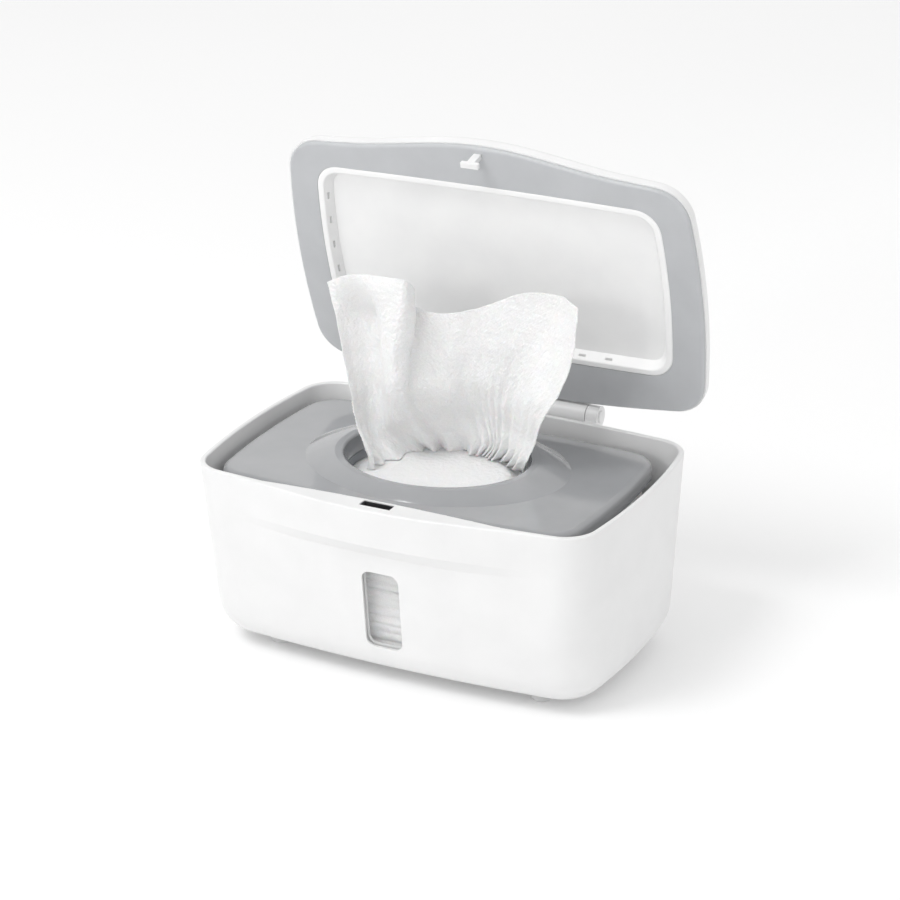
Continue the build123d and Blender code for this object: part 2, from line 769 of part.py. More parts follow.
def make_plate_cover():
    """Glossy top of the weighted plate, hollow underneath, with a collar round its hole."""
    low = plate_bottom + tray_thickness
    slab = Pos(0, 0, low) * extrude(plate_face(0), plate_top - low)
    slab = fillet(slab.faces().sort_by(Axis.Z)[-1].edges(), plate_edge_rounding)
    body = slab + collar(0, 0)
    body -= hole(0, plate_bottom - 1, plate_top + collar_height + 1)
    crest = body.edges().filter_by(lambda e: e.center().Z > plate_top + collar_height - 0.3)
    body = fillet(crest, collar_rounding)
    inside = Pos(0, 0, low - 1) * extrude(plate_face(plate_wall), plate_top - plate_wall - low + 1)
    inside += collar(plate_wall, plate_wall)
    inside -= hole(plate_wall, low - 2, plate_top + collar_height + 2)
    body -= inside
    body -= hole(plate_wall + 1, low - 1, plate_bottom + hole_seam_height)
    return body


def make_plate_tray():
    """Underside of the plate, with a flange that lines the bottom of the hole and bosses for the weights."""
    tray = Pos(0, 0, plate_bottom) * extrude(plate_face(0), tray_thickness)
    tray = fillet(tray.faces().sort_by(Axis.Z)[0].edges(), 0.8)
    tray += hole(plate_wall, plate_bottom, plate_bottom + hole_seam_height - 0.3)
    tray -= hole(0, plate_bottom - 1, plate_bottom + hole_seam_height + 1)
    for x, y in plate_screw_places():
        tray += Pos(x, y, plate_bottom + tray_thickness) * Cylinder(
            plate_boss_radius, plate_boss_height, align=(Align.CENTER, Align.CENTER, Align.MIN))
        tray -= Pos(x, y, plate_bottom) * Cylinder(screw_radius, 20)
        tray -= Pos(x, y, plate_bottom) * Cylinder(screw_head_radius, 2 * screw_head_height)
    return tray


def plate_screw_places():
    signs = [(sx, sy) for sy in (-1, 1) for sx in (-1, 1)]
    return [(plate_shift + sx * plate_screw_x, plate_y + sy * plate_screw_y) for sx, sy in signs]


def make_plate_screws():
    seat = plate_bottom + screw_head_height
    return Compound([Pos(x, y, seat) * screw(plate_screw_length) for x, y in plate_screw_places()])


def make_plate_weight(side):
    """Steel bar that loads one wing of the plate."""
    low = plate_bottom + tray_thickness
    bar = Box(weight_length, weight_depth, weight_height, align=(Align.CENTER, Align.CENTER, Align.MIN))
    bar = fillet(bar.edges().filter_by(Axis.Z), 3.0)
    return Pos(plate_shift + side * weight_x, plate_y, low) * bar


def make_wipe_stack():
    """Folded wipes, as a rounded block under the plate."""
    low = foot_height + floor_thickness + soft_gap
    height = plate_bottom - soft_gap - low
    block = Box(stack_length, stack_depth, height, align=(Align.CENTER, Align.CENTER, Align.MIN))
    block = fillet(block.edges().filter_by(Axis.Z), stack_corner)
    block = fillet(block.faces().sort_by(Axis.Z)[0].edges(), stack_bottom_rounding)
    block = fillet(block.faces().sort_by(Axis.Z)[-1].edges(), stack_top_rounding)
    return Pos(0, stack_y, low) * block


def sheet_section(z, points):
    """Closed band of the sheet's thickness along a wavy line of arcs through the points at height z."""
    half = sheet_thickness / 2
    edges = []
    front = []
    back = []
    for i in range(0, len(points) - 2, 2):
        first, middle, last = (Vector(*p) for p in points[i:i + 3])
        chord = (last - first).normalized()
        normal = Vector(-chord.Y, chord.X, 0)
        front.append([p - normal * half for p in (first, middle, last)])
        back.append([p + normal * half for p in (first, middle, last)])
    for side in (front, back):
        for a, b in zip(side, side[1:]):
            joint = (a[2] + b[0]) * 0.5
            a[2] = joint
            b[0] = joint
    for arc in front:
        edges.append(ThreePointArc(*[(p.X, p.Y) for p in arc]))
    edges.append(Line((front[-1][2].X, front[-1][2].Y), (back[-1][2].X, back[-1][2].Y)))
    for arc in reversed(back):
        edges.append(ThreePointArc(*[(p.X, p.Y) for p in reversed(arc)]))
    edges.append(Line((back[0][0].X, back[0][0].Y), (front[0][0].X, front[0][0].Y)))
    return (Pos(0, 0, z) * make_face(edges)).face()


def make_pulled_wipe():
    """The wipe that stands up through the hole: gathered there, fanned out above, its top edge dipped."""
    low = [(-0.46, -0.30), (-0.42, 0.33), (-0.27, 0.74), (-0.11, 1.00), (0.07, 0.93), (0.24, 0.81), (0.38, 0.37)]
    waist = [(-0.68, -0.07), (-0.57, 0.33), (-0.38, 0.37), (-0.16, 0.67), (0.08, 0.59), (0.32, 0.67), (0.62, 0.26)]
    breast = [(-0.77, 0.00), (-0.61, 0.33), (-0.42, 0.19), (-0.18, 0.52), (0.11, 0.37), (0.43, 0.52), (0.85, 0.07)]
    top = [(-0.86, 0.07), (-0.61, 0.22), (-0.35, 0.00), (-0.16, 0.37), (0.14, 0.37), (0.54, 0.30), (0.99, 0.00)]
    rises = [wipe_foot_rise, wipe_waist_rise, wipe_breast_rise, wipe_peak_rise + 1.0]
    sections = []
    for rise, shares in zip(rises, (low, waist, breast, top)):
        points = [(x * wipe_half_width, y * wipe_gather_depth) for x, y in shares]
        sections.append(sheet_section(plate_top + rise, points))
    above = Plane.XZ * make_face([
        Line(wipe_place(-1.1, wipe_corner_rise), wipe_place(-0.86, wipe_corner_rise)),
        ThreePointArc(wipe_place(-0.86, wipe_corner_rise), wipe_place(-0.57, wipe_peak_rise - 1),
                      wipe_place(-0.32, wipe_peak_rise - 2)),
        ThreePointArc(wipe_place(-0.32, wipe_peak_rise - 2), wipe_place(-0.05, wipe_dip_rise),
                      wipe_place(0.24, wipe_dip_rise + 4)),
        ThreePointArc(wipe_place(0.24, wipe_dip_rise + 4), wipe_place(0.6, wipe_peak_rise),
                      wipe_place(0.97, wipe_peak_rise - 2)),
        Polyline(wipe_place(0.97, wipe_peak_rise - 2), wipe_place(1.2, wipe_peak_rise - 2),
                 wipe_place(1.2, wipe_peak_rise + 20), wipe_place(-1.1, wipe_peak_rise + 20),
                 wipe_place(-1.1, wipe_corner_rise)),
    ])
    return loft(sections) - extrude(above, tub_depth / 2, both=True)


def wipe_place(share, rise):
    """Point in the wipe's upright plane: a share of its half width, and a height above the plate."""
    return (share * wipe_half_width, plate_top + rise)


def swing_open(shape):
    axis = Axis((0, hinge_y, hinge_z), (1, 0, 0))
    return shape.rotate(axis, -open_angle)


def make_pieces():
    """Every piece by name, in the frame in which the pieces are drawn."""
    pieces = {
        "base_shell": make_base_shell(),
        "window_pane": make_window_pane(),
        "window_frame": make_window_frame(),
        "latch_housing": make_latch_housing(),
        "latch_cover": make_latch_cover(),
        "latch_screws": make_latch_screws(),
        "latch_slider": make_latch_slider(),
        "latch_spring": make_latch_spring(),
        "hinge_pin": make_hinge_pin(),
        "lid_shell": swing_open(make_lid_shell()),
        "lid_seal": swing_open(make_lid_seal()),
        "lid_liner": swing_open(make_lid_liner()),
        "lid_panel": swing_open(make_lid_panel()),
        "lid_striker": swing_open(make_lid_striker()),
        "plate_cover": make_plate_cover(),
        "plate_tray": make_plate_tray(),
        "plate_screws": make_plate_screws(),
        "wipe_stack": make_wipe_stack(),
        "pulled_wipe": make_pulled_wipe(),
    }
    for name, (x, y) in zip(("front_left", "front_right", "rear_left", "rear_right"), foot_places()):
        pieces[f"foot_{name}"] = make_foot(x, y)
    for name, side in (("left", -1), ("right", 1)):
        pieces[f"latch_jaw_{name}"] = make_latch_jaw(side)
        pieces[f"hinge_cap_{name}"] = make_hinge_cap(side)
        pieces[f"hinge_spring_{name}"] = swing_open(make_hinge_spring(side))
        pieces[f"plate_weight_{name}"] = make_plate_weight(side)
    return pieces


def main():
    os.makedirs("parts", exist_ok=True)
    pieces = make_pieces()
    boxes = [piece.bounding_box() for piece in pieces.values()]
    front = min(box.min.Y for box in boxes)
    back = max(box.max.Y for box in boxes)
    shift = -(front + back) / 2
    print("moved along Y by", round(shift, 4), "hinge at Y", round(hinge_y + shift, 4), "Z", hinge_z)
    for node, piece in pieces.items():
        export_step(Pos(0, shift, 0) * piece, f"parts/{node}.step")


main()
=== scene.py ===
import json
import math

import bpy
import numpy as np
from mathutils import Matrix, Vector, noise


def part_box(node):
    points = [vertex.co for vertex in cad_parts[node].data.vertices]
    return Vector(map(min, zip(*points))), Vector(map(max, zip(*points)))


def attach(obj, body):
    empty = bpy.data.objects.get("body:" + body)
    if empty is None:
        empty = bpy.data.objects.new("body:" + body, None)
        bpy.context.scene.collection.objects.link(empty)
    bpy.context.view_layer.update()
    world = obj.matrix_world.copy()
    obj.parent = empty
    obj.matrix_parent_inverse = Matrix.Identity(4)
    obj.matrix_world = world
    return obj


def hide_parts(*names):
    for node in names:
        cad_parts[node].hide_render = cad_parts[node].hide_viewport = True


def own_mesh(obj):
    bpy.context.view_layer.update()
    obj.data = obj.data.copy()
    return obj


# Looks of the wipes dispenser. Metres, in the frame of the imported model. Shapes drawn here are written
# about the middle of the tub, and moved along Y by tub_y, which comes from the hinge's place.

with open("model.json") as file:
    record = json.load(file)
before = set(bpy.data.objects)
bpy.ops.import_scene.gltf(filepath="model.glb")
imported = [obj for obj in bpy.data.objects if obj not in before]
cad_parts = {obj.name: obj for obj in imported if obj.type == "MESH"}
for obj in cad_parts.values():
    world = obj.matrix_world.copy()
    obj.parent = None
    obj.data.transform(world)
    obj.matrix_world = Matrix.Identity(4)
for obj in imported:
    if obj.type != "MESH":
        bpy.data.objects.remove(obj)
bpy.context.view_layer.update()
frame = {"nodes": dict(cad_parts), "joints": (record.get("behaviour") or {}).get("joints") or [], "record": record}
NODES = frame["nodes"]
JOINTS = {joint["name"]: joint for joint in frame["joints"]}

MM = 0.001
HINGE_FROM_MIDDLE = 79.3 * MM
hinge_y = JOINTS["lid_hinge"]["pos_m"][1]
tub_y = hinge_y - HINGE_FROM_MIDDLE

# Camera, fitted to the outline of the tub in the photograph
LENS_MM = 114.49
SENSOR_MM = 36.0
CAMERA_TARGET = Vector((-37.95, 82.60, 67.39)) * MM
CAMERA_DISTANCE = 1553.9 * MM
CAMERA_AZIMUTH = math.radians(27.128)
CAMERA_ELEVATION = math.radians(22.749)
CAMERA_ROLL = math.radians(-0.605)


def at_tub(x, y, z):
    """Point given in millimetres about the middle of the tub, in metres in the frame."""
    return Vector((x * MM, y * MM + tub_y, z * MM))


def mesh_object(name, points, faces, smooth=True):
    mesh = bpy.data.meshes.new(name)
    mesh.from_pydata([tuple(p) for p in points], [], faces)
    mesh.validate()
    mesh.update()
    piece = bpy.data.objects.new(name, mesh)
    bpy.context.scene.collection.objects.link(piece)
    if smooth:
        mesh.polygons.foreach_set("use_smooth", [True] * len(mesh.polygons))
    return piece


def grid_faces(rows, columns, closed=False):
    faces = []
    across = columns if closed else columns - 1
    for i in range(rows - 1):
        for j in range(across):
            k = (j + 1) % columns
            faces.append((i * columns + j, i * columns + k, (i + 1) * columns + k, (i + 1) * columns + j))
    return faces


# Materials

class Shader:
    """Small helper that builds one node material."""

    def __init__(self, name):
        self.material = bpy.data.materials.new(name)
        self.material.use_nodes = True
        self.tree = self.material.node_tree
        self.surface = self.tree.nodes["Principled BSDF"]

    def add(self, kind, **values):
        node = self.tree.nodes.new(kind)
        for key, value in values.items():
            if key in node.inputs:
                node.inputs[key].default_value = value
            else:
                setattr(node, key, value)
        return node

    def link(self, source, target):
        self.tree.links.new(source, target)

    def place(self, scale):
        """Object coordinates, in metres, times a scale along each axis."""
        coordinates = self.add("ShaderNodeTexCoord")
        mapping = self.add("ShaderNodeMapping")
        mapping.inputs["Scale"].default_value = scale
        self.link(coordinates.outputs["Object"], mapping.inputs["Vector"])
        return mapping.outputs["Vector"]

    def noise(self, scale, detail=3.0, stretch=(1.0, 1.0, 1.0)):
        texture = self.add("ShaderNodeTexNoise")
        texture.inputs["Scale"].default_value = scale
        texture.inputs["Detail"].default_value = detail
        self.link(self.place(stretch), texture.inputs["Vector"])
        return texture.outputs["Fac"]

    def ramp(self, source, low, high, start=0.3, end=0.7):
        """A colour that goes from low to high as source goes from start to end."""
        ramp = self.add("ShaderNodeValToRGB")
        ramp.color_ramp.elements[0].position = start
        ramp.color_ramp.elements[1].position = end
        ramp.color_ramp.elements[0].color = (*low, 1.0)
        ramp.color_ramp.elements[1].color = (*high, 1.0)
        self.link(source, ramp.inputs["Fac"])
        return ramp.outputs["Color"]

    def span(self, source, low, high):
        """A number that goes from low to high as source goes from 0.3 to 0.7."""
        spread = self.add("ShaderNodeMapRange")
        spread.inputs["From Min"].default_value = 0.3
        spread.inputs["From Max"].default_value = 0.7
        spread.inputs["To Min"].default_value = low
        spread.inputs["To Max"].default_value = high
        self.link(source, spread.inputs["Value"])
        return spread.outputs["Result"]

    def colour(self, low, high, scale):
        self.link(self.ramp(self.noise(scale), low, high), self.surface.inputs["Base Color"])

    def rough(self, low, high, scale):
        self.link(self.span(self.noise(scale), low, high), self.surface.inputs["Roughness"])

    def bump(self, height, strength, distance):
        bump = self.add("ShaderNodeBump")
        bump.inputs["Strength"].default_value = strength
        bump.inputs["Distance"].default_value = distance
        self.link(height, bump.inputs["Height"])
        self.link(bump.outputs["Normal"], self.surface.inputs["Normal"])

    def set(self, **values):
        for key, value in values.items():
            self.surface.inputs[key.replace("_", " ")].default_value = value


def moulded(name, low, high, rough, coat=0.0, grain=0.25):
    """Moulded plastic: faint cloudiness of colour, uneven gloss and a fine flow texture."""
    shader = Shader(name)
    shader.colour(low, high, 40.0)
    shader.rough(rough[0], rough[1], 90.0)
    shader.bump(shader.noise(900.0, 2.0), grain, 0.00004)
    shader.set(Coat_Weight=coat, Coat_Roughness=0.05)
    return shader.material


def rubber(name, low, high, rough):
    shader = Shader(name)
    shader.colour(low, high, 60.0)
    shader.rough(rough[0], rough[1], 120.0)
    shader.bump(shader.noise(1600.0, 2.0), 0.3, 0.00005)
    shader.set(Sheen_Weight=0.08, Sheen_Roughness=0.5)
    return shader.material


def plated(name):
    """Zinc-plated steel with fine drawn lines."""
    shader = Shader(name)
    shader.colour((0.50, 0.51, 0.52), (0.64, 0.64, 0.65), 300.0)
    shader.rough(0.22, 0.38, 500.0)
    shader.bump(shader.noise(2500.0, 2.0, (0.1, 1.0, 1.0)), 0.4, 0.00003)
    shader.set(Metallic=1.0)
    return shader.material


def clear(name):
    shader = Shader(name)
    shader.colour((0.97, 0.98, 0.98), (1.0, 1.0, 1.0), 40.0)
    shader.rough(0.02, 0.06, 120.0)
    shader.bump(shader.noise(60.0, 2.0), 0.1, 0.0001)
    shader.set(Alpha=0.07, IOR=1.46)
    return shader.material


def non_woven(name):
    """Wet non-woven cloth: embossed pebbles and short fibres."""
    shader = Shader(name)
    flat = shader.add("ShaderNodeUVMap", uv_map="flat")
    cells = shader.add("ShaderNodeTexVoronoi", feature="SMOOTH_F1")
    cells.inputs["Scale"].default_value = 420.0
    cells.inputs["Smoothness"].default_value = 0.4
    shader.link(flat.outputs["UV"], cells.inputs["Vector"])
    fibres = shader.add("ShaderNodeTexNoise")
    fibres.inputs["Scale"].default_value = 1500.0
    fibres.inputs["Detail"].default_value = 5.0
    shader.link(flat.outputs["UV"], fibres.inputs["Vector"])
    height = shader.add("ShaderNodeMath", operation="ADD")
    soft = shader.add("ShaderNodeMath", operation="MULTIPLY")
    soft.inputs[1].default_value = 0.45
    shader.link(fibres.outputs["Fac"], soft.inputs[0])
    shader.link(cells.outputs["Distance"], height.inputs[0])
    shader.link(soft.outputs["Value"], height.inputs[1])
    shader.bump(height.outputs["Value"], 0.8, 0.0005)
    tone = shader.ramp(fibres.outputs["Fac"], (0.81, 0.81, 0.81), (0.90, 0.90, 0.90))
    shader.link(tone, shader.surface.inputs["Base Color"])
    shader.link(shader.span(fibres.outputs["Fac"], 0.62, 0.82), shader.surface.inputs["Roughness"])
    shader.set(Sheen_Weight=0.05, Sheen_Roughness=0.6, Subsurface_Weight=0.1, Subsurface_Scale=0.001)
    return shader.material


def make_materials():
    return {
        # The liner is the same white plastic as the shell, set lighter: painted light for the shade in the lid's
        # recess.
        "white_plastic": moulded("white_plastic", (0.79, 0.79, 0.79), (0.82, 0.82, 0.82), (0.30, 0.38)),
        "liner_plastic": moulded("liner_plastic", (0.88, 0.88, 0.88), (0.92, 0.92, 0.915), (0.38, 0.5)),
        "grey_seal": rubber("grey_seal", (0.475, 0.485, 0.50), (0.505, 0.515, 0.53), (0.30, 0.42)),
        "grey_plate": moulded("grey_plate", (0.305, 0.312, 0.322), (0.33, 0.335, 0.345), (0.13, 0.18),
                              coat=1.0, grain=0.06),
        "dark_grey_tray": moulded("dark_grey_tray", (0.24, 0.25, 0.27), (0.28, 0.29, 0.31), (0.35, 0.5)),
        "clear_window": clear("clear_window"),
        "dark_plastic": moulded("dark_plastic", (0.02, 0.02, 0.022), (0.035, 0.035, 0.037), (0.35, 0.5)),
        "jaw_plastic": moulded("jaw_plastic", (0.66, 0.66, 0.65), (0.74, 0.74, 0.73), (0.3, 0.45)),
        "steel": plated("steel"),
        "foot_rubber": rubber("foot_rubber", (0.62, 0.62, 0.62), (0.72, 0.72, 0.72), (0.35, 0.5)),
        "wipes": non_woven("wipes"),
    }


def dress_nodes(materials):
    """Gives every node of the frame the material of its slot."""
    for part in frame["record"]["subparts"]:
        node = NODES[part["node"]]
        node.data.materials.clear()
        node.data.materials.append(materials[part["material_slot"]])


# Pulled wipe, in millimetres about the tub's middle. Each section gives a height and places across the
# sheet, from its left edge over the folded flap to its right edge. WIPE_TOP gives the top edge's height at
# those places. WIPE_EVEN is the section whose length sets how columns are spread over the sheet.

WIPE_LOW = 92.6
WIPE_FLAT_WIDTH = 178.0
WIPE_ROWS = 220
WIPE_COLUMNS = 400
WIPE_THICKNESS = 0.0004
WIPE_SECTIONS = [
    (92.6, [(-35.5, -12), (-34.5, -4), (-32, 5), (-29, 12), (-25.5, 19), (-22, 24.5), (-18, 27), (-12, 29),
            (-4, 30.5), (6, 30.5), (17, 29.5), (28, 25.5), (37, 18)]),
    (101, [(-36, -11), (-39, -4), (-40, 4), (-36, 10), (-30, 13), (-24, 16), (-18, 20), (-11, 24), (-2, 27),
           (12, 26), (24, 23), (35, 16), (42.5, 8)]),
    (114, [(-45, -7), (-47, 0), (-45, 7), (-39, 8), (-31, 3), (-24, 3), (-18, 8), (-12, 14), (-4, 19),
           (11, 23), (26, 22), (39, 16), (48.5, 7)]),
    (130, [(-51, -4), (-50, 3), (-46, 9), (-40, 9), (-33, 1), (-26, -4), (-20, -1), (-15, 5), (-8, 11),
           (10, 19), (28, 20), (42, 13), (54.7, 6)]),
    (150, [(-55, -2), (-53, 4), (-47, 9), (-39, 8), (-32, -1), (-23, -6), (-18, -1), (-18, 5), (-11, 10),
           (11, 18), (34, 21), (51, 13), (66, 4)]),
    (170, [(-60.5, 0), (-56, 4), (-49, 7), (-41, 6), (-32, -3), (-20, -6), (-16, 1), (-21, 7), (-13, 12),
           (10, 19), (37, 22), (57, 14), (72, 2)]),
    (185, [(-65.5, 1), (-58, -1), (-49, -1), (-40, -3), (-29, -6), (-17, -5), (-17, 3), (-26, 8), (-17, 13),
           (8, 18), (38, 22), (60, 14), (73.7, 1)]),
    (198, [(-69, 1), (-61, -2), (-51, -4), (-40, -5), (-28, -6), (-16, -5), (-17, 3), (-28, 8), (-18, 13),
           (6, 17), (37, 20), (60, 12), (75, 1)]),
]
WIPE_EVEN = 6
WIPE_TOP = [185.6, 189.5, 193.2, 195.6, 196.4, 195.4, 189.0, 180.0, 174.4, 176.9, 189.2, 193.2, 193.3]

# Small gathers at the hole and longer folds over them: how many, how deep, and the rise over which they fade
GATHER_COUNT = 15.0
GATHER_DEPTH = 2.6
GATHER_FADE = 17.0
GATHER_TWIST = 0.012
LONG_FOLD_COUNT = 5.0
LONG_FOLD_DEPTH = 1.3
LONG_FOLD_FADE = 35.0
LONG_FOLD_TWIST = 0.004

# Creases: size along X, place in the noise, size along Z, depth
WIDE_CREASE = (16.0, 3.7, 30.0, 1.9)
FINE_CREASE = (6.0, 9.1, 11.0, 0.7)

PEBBLE_PITCH = 2.4
PEBBLE_HEIGHT = 0.19
PEBBLE_UNEVEN = 0.16
PEBBLE_GRAIN = 1.9


def smooth_line(knots, values, at):
    """Catmull-Rom curve through values at knots, read at the places in at."""
    knots = np.asarray(knots, float)
    values = np.asarray(values, float)
    slopes = np.gradient(values, knots, axis=0)
    i = np.clip(np.searchsorted(knots, at, side="right") - 1, 0, len(knots) - 2)
    width = knots[i + 1] - knots[i]
    t = (at - knots[i]) / width
    if values.ndim > 1:
        t, width = t[:, None], width[:, None]
    first = (2 * t**3 - 3 * t**2 + 1) * values[i] + (t**3 - 2 * t**2 + t) * width * slopes[i]
    return first + (3 * t**2 - 2 * t**3) * values[i + 1] + (t**3 - t**2) * width * slopes[i + 1]


def wipe_surface():
    """Points of the sheet's middle surface in millimetres, and each column's share of the flat width."""
    u = np.linspace(0, 1, WIPE_COLUMNS)
    heights = [z for z, _ in WIPE_SECTIONS]
    even = np.array(WIPE_SECTIONS[WIPE_EVEN][1], float)
    knots = np.concatenate([[0.0], np.cumsum(np.linalg.norm(np.diff(even, axis=0), axis=1))])
    knots /= knots[-1]
    lines = np.array([smooth_line(knots, section, u) for _, section in WIPE_SECTIONS])
    top = smooth_line(knots, WIPE_TOP, u)
    share = np.linspace(0, 1, WIPE_ROWS)[:, None]
    surface = np.empty((WIPE_ROWS, WIPE_COLUMNS, 3))
    surface[:, :, 2] = WIPE_LOW + (top - WIPE_LOW)[None, :] * share
    for j in range(WIPE_COLUMNS):
        surface[:, j, :2] = smooth_line(heights, lines[:, j], surface[:, j, 2])
    return surface, u


def pleats(surface, u):
    """Gathers where the sheet leaves the hole, which fade out above, and faint creases all over."""
    across = np.gradient(surface[:, :, :2], axis=1)
    normal = np.stack([-across[:, :, 1], across[:, :, 0]], 2)
    normal /= np.maximum(np.linalg.norm(normal, axis=2, keepdims=True), 1e-9)
    rise = surface[:, :, 2] - WIPE_LOW
    wander = 0.8 * np.sin(2 * math.pi * 1.3 * u + 0.6)
    phase = 2 * math.pi * (GATHER_COUNT * u + wander + 0.3 * np.sin(2 * math.pi * 3.1 * u))
    uneven = 0.9 + 0.25 * np.sin(2 * math.pi * 2.3 * u + 2.6)
    gather = np.sin(phase[None, :] + GATHER_TWIST * rise) * GATHER_DEPTH * uneven[None, :]
    gather *= np.exp(-rise / GATHER_FADE)
    long_phase = 2 * math.pi * (LONG_FOLD_COUNT * u[None, :] + LONG_FOLD_TWIST * rise) + 1.0
    long_fold = np.sin(long_phase) * LONG_FOLD_DEPTH * np.exp(-rise / LONG_FOLD_FADE)
    crease = np.zeros_like(rise)
    for i in range(surface.shape[0]):
        for j in range(surface.shape[1]):
            x, _, z = surface[i, j]
            for size_x, place, size_z, depth in (WIDE_CREASE, FINE_CREASE):
                crease[i, j] += noise.noise(Vector((x / size_x, place, z / size_z))) * depth
    shift = (gather + long_fold + crease)[:, :, None] * normal
    out = surface.copy()
    out[:, :, :2] += shift
    return out


def emboss(points, flat):
    """Height of the pebbles pressed into the sheet, at each point."""
    lifts = np.zeros(points.shape[:2])
    pitch = PEBBLE_PITCH
    for i in range(points.shape[0]):
        for j in range(points.shape[1]):
            a, b = flat[i, j] / MM
            row = math.floor(b / pitch)
            offset = pitch / 2 if row % 2 else 0.0
            lift = math.cos(2 * math.pi * (a + offset) / pitch)
            lift *= math.cos(math.pi * (2 * b / pitch - 2 * row - 1))
            grain = noise.noise(Vector((a / PEBBLE_GRAIN, b / PEBBLE_GRAIN, 5.0)))
            lifts[i, j] = PEBBLE_HEIGHT * lift + PEBBLE_UNEVEN * grain
    return lifts


def make_pulled_wipe(material):
    surface, u = wipe_surface()
    surface = pleats(surface, u)
    rows, columns = surface.shape[:2]
    flat = np.zeros((rows, columns, 2))
    flat[:, :, 0] = (u * WIPE_FLAT_WIDTH * MM)[None, :]
    flat[:, :, 1] = (surface[:, :, 2] - WIPE_LOW) * MM
    across = np.gradient(surface, axis=1)
    along = np.gradient(surface, axis=0)
    normal = np.cross(across, along)
    normal /= np.maximum(np.linalg.norm(normal, axis=2, keepdims=True), 1e-9)
    surface = surface + normal * emboss(surface, flat)[:, :, None]
    points = [at_tub(*p) for p in surface.reshape(-1, 3)]
    piece = mesh_object("pulled_wipe_cloth", points, grid_faces(rows, columns))
    uv = piece.data.uv_layers.new(name="flat")
    flat_list = flat.reshape(-1, 2)
    for loop in piece.data.loops:
        uv.data[loop.index].uv = flat_list[loop.vertex_index]
    solid = piece.modifiers.new("thickness", "SOLIDIFY")
    solid.thickness = WIPE_THICKNESS
    solid.offset = 0.0
    piece.data.materials.append(material)
    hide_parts("pulled_wipe")
    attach(piece, "plate")
    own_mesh(piece)


# Stack of folded wipes, in millimetres about the tub's middle.

STACK_LOW = 7.8
STACK_TOP = 88.2
STACK_HALF_X = 93.0
STACK_FRONT = -58.0
STACK_REAR = 51.0
STACK_CORNER = 10.0
STACK_EDGE = 2.6
STACK_LOW_EDGE = 11.0
STACK_COLUMNS = 300
STACK_TOP_RINGS = 60
ROWS_PER_FOLD = 8
FOLD_PITCH = 4.6
FOLD_DEPTH = 1.1

# How the folded layers sag along the stack's side: depth, size along the side and shift for each layer
SAGS = ((0.22, 23.0, 1.7), (0.12, 8.0, 2.9))
SAG_FADE = 6.0
SLIP_SHARE = 0.7
SIDE_INSET = 0.6

# The hole in the plate and how the top wipes swell up into it, in shares of the hole's reach
HOLE_MIDDLE = (-4.0, 2.0)
HOLE_REACH = (47.0, 38.4)
HOLE_SWELL = 4.1
SWELL_EDGE = 0.985
SWELL_BAND = 0.2

# The latch's spring, in metres
COIL_WIRE = 0.00025
COIL_TURNS = 5
COIL_STEPS = 28
COIL_SIDES = 8


def rounded_loop(half_x, half_y, corner, count):
    """Points, outward directions and lengths along a rounded oblong about the origin."""
    lengths = [2 * (half_y - corner), math.pi * corner / 2, 2 * (half_x - corner), math.pi * corner / 2]
    total = 2 * sum(lengths)
    points = []
    for k in range(count):
        along = total * k / count
        turn = 0.0
        start = Vector((half_x, corner - half_y))
        for i in range(8):
            length = lengths[i % 4]
            heading = Vector((-math.sin(turn), math.cos(turn)))
            if along <= length:
                break
            along -= length
            if i % 2:
                start += corner * (heading + Vector((-heading.y, heading.x)))
                turn += math.pi / 2
            else:
                start += heading * length
        if i % 2:
            middle = start + corner * Vector((-heading.y, heading.x))
            out = Vector((math.cos(turn + along / corner), math.sin(turn + along / corner)))
            points.append((middle + corner * out, out, total * k / count))
        else:
            points.append((start + heading * along, Vector((heading.y, -heading.x)), total * k / count))
    return points


def stack_profile():
    """Height and inset of each row of the stack's side, from the bottom up, with a fold every few rows."""
    rows = []
    folds = round((STACK_TOP - STACK_LOW) / FOLD_PITCH)
    for i in range(folds * ROWS_PER_FOLD + 1):
        z = STACK_LOW + (STACK_TOP - STACK_LOW) * i / (folds * ROWS_PER_FOLD)
        fold = abs(math.sin(math.pi * i / ROWS_PER_FOLD)) ** 0.6
        low = max(0.0, STACK_LOW_EDGE - (z - STACK_LOW))
        edge = max(0.0, STACK_EDGE - (STACK_TOP - z))
        inset = STACK_LOW_EDGE - math.sqrt(max(0.0, STACK_LOW_EDGE ** 2 - low * low))
        inset += STACK_EDGE - math.sqrt(max(0.0, STACK_EDGE ** 2 - edge * edge))
        rows.append((z, inset, fold))
    return rows


def stack_swell(x, y):
    """How far the top wipes swell up into the plate's hole, at a place on the stack's top."""
    reach = math.hypot((x - HOLE_MIDDLE[0]) / HOLE_REACH[0], (y - HOLE_MIDDLE[1]) / HOLE_REACH[1])
    share = min(1.0, max(0.0, (SWELL_EDGE - reach) / SWELL_BAND))
    return HOLE_SWELL * share * share * (3 - 2 * share)


